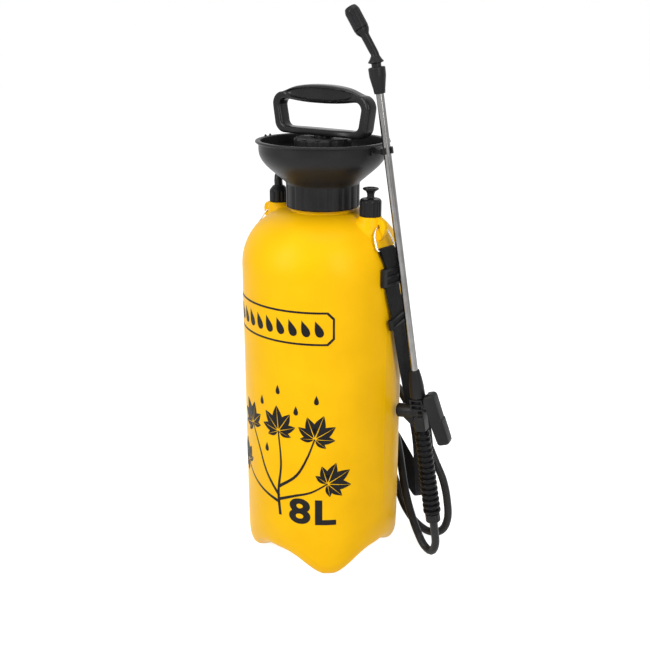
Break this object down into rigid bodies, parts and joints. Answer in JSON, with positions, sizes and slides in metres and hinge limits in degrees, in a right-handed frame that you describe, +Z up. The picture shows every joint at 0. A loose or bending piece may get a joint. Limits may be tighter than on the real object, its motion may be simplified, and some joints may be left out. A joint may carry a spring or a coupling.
{
  "type": "pump-up pressure sprayer",
  "caption": "Hand-carried pump-up sprayer: yellow tank with filling funnel, hand pump, relief valve, hose, and a trigger gun with a lance clipped to the rim.",
  "frame": {"origin": "on the ground under the middle of the bounding box of everything but the hose; the tank's axis stands at x -0.0281, y -0.0210", "axes": "+Z up; -Y is the front; the relief valve's port, the lance clip and the gun are towards +X, the hose outlet towards -X"},
  "size_m": [0.2544, 0.222, 0.6233],
  "materials": {
    "tank_plastic": "satin blow-moulded polyethylene",
    "black_plastic": "fine matt moulded polypropylene",
    "satin_black": "satin moulded plastic",
    "black_rubber": "matt",
    "hose_vinyl": "smooth satin vinyl",
    "webbing": "flat woven webbing",
    "polished_steel": "polished stainless steel",
    "chrome_wire": "bright plated wire",
    "natural_plastic": "uncoloured plastic"
  },
  "bodies": {
    "root": {"tank": "tank_plastic", "tank_base": "tank_plastic", "tank_dome": "tank_plastic", "tank_neck": "tank_plastic", "strap_ring_right": "chrome_wire", "strap_ring_left": "chrome_wire", "funnel": "black_plastic", "funnel_ledge": "black_plastic", "funnel_neck": "black_plastic", "neck_seal": "black_rubber", "outlet_nut": "black_plastic", "outlet_seal": "black_rubber", "outlet_tail": "natural_plastic", "dip_tube": "natural_plastic", "dip_strainer": "black_plastic", "relief_cap": "black_plastic", "relief_spring": "polished_steel", "lance_tube": "polished_steel", "lance_clip": "black_plastic", "nozzle_nut": "black_plastic", "lance_seal": "black_rubber", "nozzle_elbow": "black_plastic", "nozzle_oring": "black_rubber", "nozzle_core": "natural_plastic", "gun_body": "black_plastic", "lance_collar": "black_plastic", "collar_seal": "black_rubber", "grip": "black_plastic", "valve_cap": "black_plastic", "valve_spring": "polished_steel", "lever_pin": "polished_steel", "hose_nut": "black_plastic", "hose_tail": "natural_plastic", "hose": "hose_vinyl", "strap": "webbing", "strap_buckle_right": "black_plastic", "strap_buckle_left": "black_plastic", "strap_slider": "black_plastic"},
    "pump_unit": {"pump_cap": "black_plastic", "pump_cylinder": "black_plastic", "check_valve": "black_rubber", "cylinder_seal": "black_rubber"},
    "pump_piston": {"piston": "black_plastic", "piston_seal": "black_rubber"},
    "pump_grip": {"pump_rod": "polished_steel", "pump_handle": "satin_black"},
    "relief_puller": {"relief_knob": "black_plastic", "relief_seal": "black_rubber"},
    "trigger": {"trigger_lever": "black_plastic"},
    "valve_plunger": {"valve_pin": "polished_steel", "valve_seal": "black_rubber"},
    "spray_cap": {"nozzle_cap": "black_plastic"}
  },
  "joints": [
    {"name": "pump_lift", "type": "slide", "parent": "root", "child": "pump_unit", "axis": [0, 0, 1], "range_m": [0, 0.3]},
    {"name": "pump_stroke", "type": "slide", "parent": "pump_unit", "child": "pump_piston", "axis": [0, 0, 1], "range_m": [0, 0.17]},
    {"name": "pump_turn", "type": "hinge", "parent": "pump_piston", "child": "pump_grip", "pos_m": [-0.02809, -0.02096, 0.4871], "axis": [0, 0, 1], "continuous": true},
    {"name": "relief_pull", "type": "slide", "parent": "root", "child": "relief_puller", "axis": [0, 0, 1], "range_m": [0, 0.004], "stiffness_N_per_m": 700, "springref_m": -0.003, "deforming": ["relief_spring"]},
    {"name": "trigger_squeeze", "type": "hinge", "parent": "root", "child": "trigger", "pos_m": [0.09923, 0.00724, 0.21165], "axis": [-0.2252, 0.9715, 0.0744], "range_deg": [0, 10], "stiffness_Nm_per_rad": 0.3, "springref_deg": -5.73},
    {"name": "valve_push", "type": "slide", "parent": "root", "child": "valve_plunger", "axis": [-0.9683, -0.2147, -0.1276], "range_m": [0, 0.0028], "deforming": ["valve_spring"]},
    {"name": "nozzle_turn", "type": "hinge", "parent": "root", "child": "spray_cap", "pos_m": [0.04841, -0.03248, 0.57646], "axis": [-0.5074, -0.1376, 0.8507], "range_deg": [0, 540]}
  ],
  "couplings": [
    {"joint": "valve_push", "follows": "trigger_squeeze", "m_per_rad": 0.01604}
  ]
}
